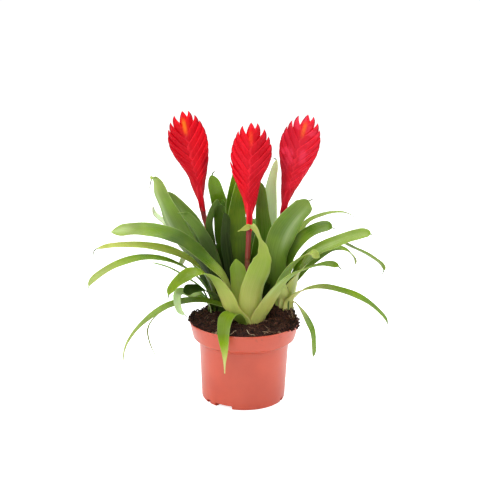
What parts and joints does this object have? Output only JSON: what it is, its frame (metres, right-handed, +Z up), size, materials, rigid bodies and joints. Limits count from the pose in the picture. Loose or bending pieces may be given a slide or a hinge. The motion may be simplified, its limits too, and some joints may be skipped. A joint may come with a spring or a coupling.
{
  "type": "potted bromeliad",
  "caption": "Flaming sword bromeliad: rosettes of arching strap leaves and flattened red flower spikes, growing in a round nursery pot that stands on a flat base.",
  "frame": {"origin": "centre of the pot's flat underside, on the surface it stands on", "axes": "+Z up out of the pot; -Y towards the plant's front; +X to the right as seen from the front"},
  "size_m": [0.3343, 0.2128, 0.3204],
  "materials": {
    "pot_plastic": "terracotta-coloured injection-moulded polypropylene, satin gloss",
    "potting_soil": "dark bark and peat mix, rough and fibrous",
    "leaf_blade": "smooth glossy green leaf with fine lengthwise veins, paler towards the foot",
    "flower_stalk": "smooth dull red stalk",
    "flower_bract": "waxy bright red bracts with darker crimson points"
  },
  "bodies": {
    "root": {"leaf_left_wide": "leaf_blade", "leaf_left_wide_back": "leaf_blade", "leaf_left_pale_end": "leaf_blade", "leaf_left_bent_over": "leaf_blade", "leaf_left_thin_arch": "leaf_blade", "leaf_left_low_arch": "leaf_blade", "leaf_left_under": "leaf_blade", "leaf_left_dark_short": "leaf_blade", "leaf_left_small_curl": "leaf_blade", "leaf_left_tall": "leaf_blade", "leaf_left_curl_over": "leaf_blade", "leaf_left_hanging": "leaf_blade", "leaf_left_back_low": "leaf_blade", "leaf_left_back": "leaf_blade", "leaf_left_back_middle": "leaf_blade", "leaf_front_left": "leaf_blade", "leaf_front_horizontal": "leaf_blade", "leaf_front_hanging": "leaf_blade", "leaf_front_long_low": "leaf_blade", "leaf_front_inner": "leaf_blade", "leaf_front_main": "leaf_blade", "leaf_front_right": "leaf_blade", "leaf_front_back_light": "leaf_blade", "leaf_front_back_dark": "leaf_blade", "leaf_front_back_right": "leaf_blade", "leaf_front_inner_left": "leaf_blade", "leaf_front_back": "leaf_blade", "leaf_right_glossy": "leaf_blade", "leaf_right_broad": "leaf_blade", "leaf_right_level": "leaf_blade", "leaf_right_far_thin": "leaf_blade", "leaf_right_hook": "leaf_blade", "leaf_right_pale_curl": "leaf_blade", "leaf_right_long_low": "leaf_blade", "leaf_right_hanging": "leaf_blade", "leaf_right_back_arch": "leaf_blade", "leaf_right_back_hidden": "leaf_blade", "leaf_right_upright_pale": "leaf_blade", "leaf_right_back": "leaf_blade", "leaf_right_back_inner": "leaf_blade", "stem_left": "flower_stalk", "bloom_left": "flower_bract", "stem_middle": "flower_stalk", "bloom_middle": "flower_bract", "stem_right": "flower_stalk", "bloom_right": "flower_bract", "pot": "pot_plastic", "soil": "potting_soil"}
  },
  "joints": []
}
